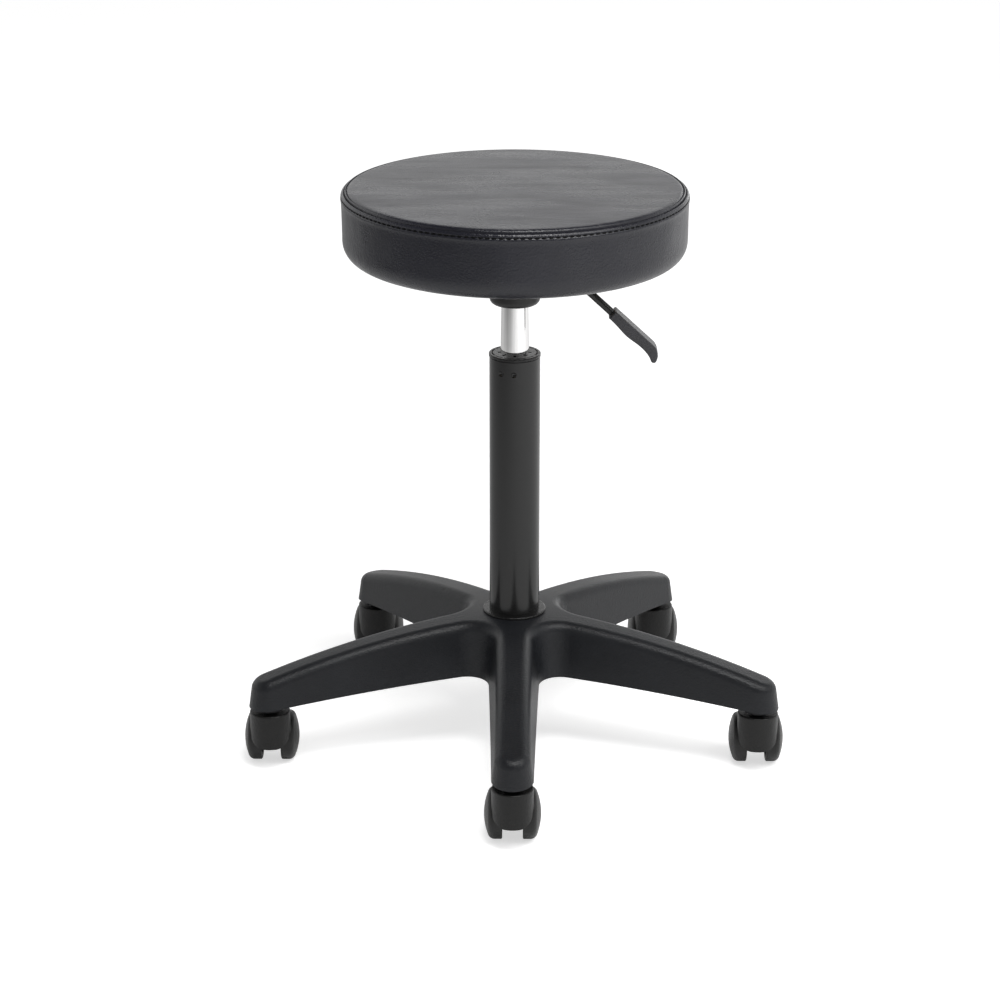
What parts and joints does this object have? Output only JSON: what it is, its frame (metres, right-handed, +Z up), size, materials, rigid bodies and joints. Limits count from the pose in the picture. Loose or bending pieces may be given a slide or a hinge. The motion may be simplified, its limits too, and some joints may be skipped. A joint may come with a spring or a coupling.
{
  "type": "adjustable swivel stool",
  "caption": "Backless swivel stool with a round padded leatherette seat, a gas lift with a release lever, and a castored star base.",
  "frame": {"origin": "on the floor, under the axis of the column", "axes": "+Z up along the column, -Y along the leg that points to the front, +X along the release lever"},
  "size_m": [0.5394, 0.5248, 0.573],
  "materials": {
    "base_nylon": "satin",
    "collar_gloss": "gloss",
    "column_paint": "satin",
    "bush_plastic": "satin",
    "bright_steel": "satin",
    "buffer_rubber": "matte",
    "chrome": "polished",
    "mechanism_paint": "satin",
    "lever_paint": "gloss",
    "handle_plastic": "matte",
    "plywood": "matte",
    "foam": "matte",
    "leatherette": "satin",
    "hood_nylon": "satin",
    "caster_steel": "satin",
    "wheel_nylon": "satin"
  },
  "bodies": {
    "base": {"star_base": "base_nylon", "hub_collar": "collar_gloss", "column_tube": "column_paint", "guide_bush": "bush_plastic", "thrust_washer_lower": "bright_steel", "stem_grip_rings": "bright_steel"},
    "piston": {"piston_rod": "bright_steel", "piston_head": "bush_plastic", "thrust_washer_upper": "bright_steel", "thrust_bearing": "bright_steel", "rubber_buffer": "buffer_rubber", "retaining_clip": "bright_steel"},
    "seat": {"gas_cylinder": "chrome", "rod_guide": "bush_plastic", "taper_hub": "mechanism_paint", "seat_plate": "mechanism_paint", "lever_bracket": "mechanism_paint", "pivot_pin": "bright_steel", "plate_bolts": "bright_steel", "t_nuts": "bright_steel", "seat_board": "plywood", "seat_foam": "foam", "seat_cover": "leatherette", "cover_staples": "bright_steel"},
    "lever": {"lever_rod": "lever_paint", "lever_handle": "handle_plastic"},
    "button": {"release_button": "bright_steel"},
    "caster_1": {"caster_1_hood": "hood_nylon", "caster_1_stem": "caster_steel", "caster_1_axle": "caster_steel"},
    "caster_1_left_wheel": {"caster_1_wheel_left": "wheel_nylon"},
    "caster_1_right_wheel": {"caster_1_wheel_right": "wheel_nylon"},
    "caster_2": {"caster_2_hood": "hood_nylon", "caster_2_stem": "caster_steel", "caster_2_axle": "caster_steel"},
    "caster_2_left_wheel": {"caster_2_wheel_left": "wheel_nylon"},
    "caster_2_right_wheel": {"caster_2_wheel_right": "wheel_nylon"},
    "caster_3": {"caster_3_hood": "hood_nylon", "caster_3_stem": "caster_steel", "caster_3_axle": "caster_steel"},
    "caster_3_left_wheel": {"caster_3_wheel_left": "wheel_nylon"},
    "caster_3_right_wheel": {"caster_3_wheel_right": "wheel_nylon"},
    "caster_4": {"caster_4_hood": "hood_nylon", "caster_4_stem": "caster_steel", "caster_4_axle": "caster_steel"},
    "caster_4_left_wheel": {"caster_4_wheel_left": "wheel_nylon"},
    "caster_4_right_wheel": {"caster_4_wheel_right": "wheel_nylon"},
    "caster_5": {"caster_5_hood": "hood_nylon", "caster_5_stem": "caster_steel", "caster_5_axle": "caster_steel"},
    "caster_5_left_wheel": {"caster_5_wheel_left": "wheel_nylon"},
    "caster_5_right_wheel": {"caster_5_wheel_right": "wheel_nylon"}
  },
  "joints": [
    {"name": "seat_swivel", "type": "hinge", "parent": "base", "child": "piston", "pos_m": [0, 0, 0.083], "axis": [0, 0, 1], "continuous": true},
    {"name": "seat_lift", "type": "slide", "parent": "piston", "child": "seat", "axis": [0, 0, 1], "range_m": [0, 0.2]},
    {"name": "lever_lift", "type": "hinge", "parent": "seat", "child": "lever", "pos_m": [0.028, 0, 0.499], "axis": [0, -1, 0], "range_deg": [0, 7], "stiffness_Nm_per_rad": 3},
    {"name": "button_press", "type": "slide", "parent": "seat", "child": "button", "axis": [0, 0, -1], "range_m": [0, 0.0036]},
    {"name": "caster_1_swivel", "type": "hinge", "parent": "base", "child": "caster_1", "pos_m": [0, -0.255, 0.075], "axis": [0, 0, 1], "continuous": true},
    {"name": "caster_1_left_roll", "type": "hinge", "parent": "caster_1", "child": "caster_1_left_wheel", "pos_m": [0, -0.237, 0.025], "axis": [1, 0, 0], "continuous": true},
    {"name": "caster_1_right_roll", "type": "hinge", "parent": "caster_1", "child": "caster_1_right_wheel", "pos_m": [0, -0.237, 0.025], "axis": [1, 0, 0], "continuous": true},
    {"name": "caster_2_swivel", "type": "hinge", "parent": "base", "child": "caster_2", "pos_m": [0.24252, -0.0788, 0.075], "axis": [0, 0, 1], "continuous": true},
    {"name": "caster_2_left_roll", "type": "hinge", "parent": "caster_2", "child": "caster_2_left_wheel", "pos_m": [0.24252, -0.0608, 0.025], "axis": [1, 0, 0], "continuous": true},
    {"name": "caster_2_right_roll", "type": "hinge", "parent": "caster_2", "child": "caster_2_right_wheel", "pos_m": [0.24252, -0.0608, 0.025], "axis": [1, 0, 0], "continuous": true},
    {"name": "caster_3_swivel", "type": "hinge", "parent": "base", "child": "caster_3", "pos_m": [0.14989, 0.2063, 0.075], "axis": [0, 0, 1], "continuous": true},
    {"name": "caster_3_left_roll", "type": "hinge", "parent": "caster_3", "child": "caster_3_left_wheel", "pos_m": [0.14989, 0.2243, 0.025], "axis": [1, 0, 0], "continuous": true},
    {"name": "caster_3_right_roll", "type": "hinge", "parent": "caster_3", "child": "caster_3_right_wheel", "pos_m": [0.14989, 0.2243, 0.025], "axis": [1, 0, 0], "continuous": true},
    {"name": "caster_4_swivel", "type": "hinge", "parent": "base", "child": "caster_4", "pos_m": [-0.14989, 0.2063, 0.075], "axis": [0, 0, 1], "continuous": true},
    {"name": "caster_4_left_roll", "type": "hinge", "parent": "caster_4", "child": "caster_4_left_wheel", "pos_m": [-0.14989, 0.2243, 0.025], "axis": [1, 0, 0], "continuous": true},
    {"name": "caster_4_right_roll", "type": "hinge", "parent": "caster_4", "child": "caster_4_right_wheel", "pos_m": [-0.14989, 0.2243, 0.025], "axis": [1, 0, 0], "continuous": true},
    {"name": "caster_5_swivel", "type": "hinge", "parent": "base", "child": "caster_5", "pos_m": [-0.24252, -0.0788, 0.075], "axis": [0, 0, 1], "continuous": true},
    {"name": "caster_5_left_roll", "type": "hinge", "parent": "caster_5", "child": "caster_5_left_wheel", "pos_m": [-0.24252, -0.0608, 0.025], "axis": [1, 0, 0], "continuous": true},
    {"name": "caster_5_right_roll", "type": "hinge", "parent": "caster_5", "child": "caster_5_right_wheel", "pos_m": [-0.24252, -0.0608, 0.025], "axis": [1, 0, 0], "continuous": true}
  ],
  "couplings": [
    {"joint": "button_press", "follows": "lever_lift", "m_per_rad": 0.028}
  ]
}
